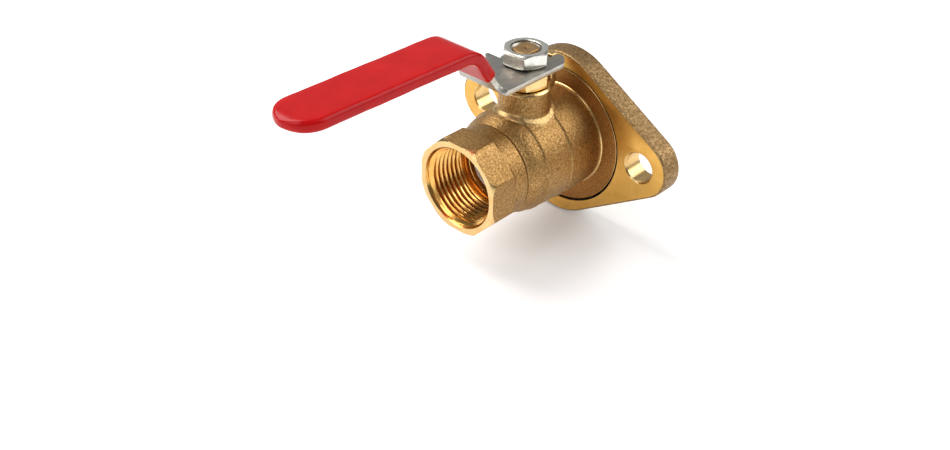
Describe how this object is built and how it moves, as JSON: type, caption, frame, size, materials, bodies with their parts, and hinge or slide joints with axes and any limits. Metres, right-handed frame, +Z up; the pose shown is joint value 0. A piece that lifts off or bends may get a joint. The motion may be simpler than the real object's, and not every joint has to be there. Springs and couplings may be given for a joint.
{
  "type": "ball valve",
  "caption": "Two-piece brass ball valve with a rotating two-bolt pump flange, octagonal threaded end and a quarter-turn lever with a red vinyl grip.",
  "frame": {"origin": "centre of the pump sealing face, where the waterway axis crosses it", "axes": "+X along the waterway from the pump face to the threaded pipe end, +Z up the stem, +Y completes a right-handed frame, so the lever points along +X when the valve is open"},
  "size_m": [0.1492, 0.1058, 0.098],
  "materials": {
    "blasted_brass": "as-cast, grit-blasted brass, matt olive gold",
    "adapter_brass": "grit-blasted outside, machined bright on the end face and thread",
    "flange_brass": "machined bright front face and bores, blasted edge",
    "gland_brass": "machined bright",
    "stem_brass": "turned, slightly dull end face",
    "plated_ball": "polished chrome plate",
    "seat_polymer": "white fluoropolymer",
    "packing_polymer": "white fluoropolymer",
    "washer_polymer": "filled fluoropolymer, tan",
    "black_rubber": "black nitrile",
    "zinc_steel": "zinc-plated pressed sheet, dull grey with bright sheared edges",
    "red_vinyl": "glossy dipped vinyl",
    "bright_steel": "bright plated steel"
  },
  "bodies": {
    "valve_body": {"valve_body": "blasted_brass", "end_adapter": "adapter_brass", "body_joint_o_ring": "black_rubber", "flange_o_ring": "black_rubber", "seat_ring_pump_side": "seat_polymer", "seat_ring_pipe_side": "seat_polymer", "stem_thrust_washer": "washer_polymer", "packing_ring_lower": "packing_polymer", "packing_ring_middle": "packing_polymer", "packing_ring_upper": "packing_polymer", "packing_nut": "gland_brass"},
    "handle": {"handle_lever": "zinc_steel", "lever_sleeve": "red_vinyl", "handle_nut": "bright_steel", "stem": "stem_brass", "stem_o_ring": "black_rubber", "ball": "plated_ball"},
    "pump_flange": {"pump_flange": "flange_brass"}
  },
  "joints": [
    {"name": "handle_turn", "type": "hinge", "parent": "valve_body", "child": "handle", "pos_m": [0.0316, 0, 0], "axis": [0, 0, 1], "range_deg": [-90, 0]},
    {"name": "flange_spin", "type": "hinge", "parent": "valve_body", "child": "pump_flange", "pos_m": [0, 0, 0], "axis": [1, 0, 0], "continuous": true}
  ]
}
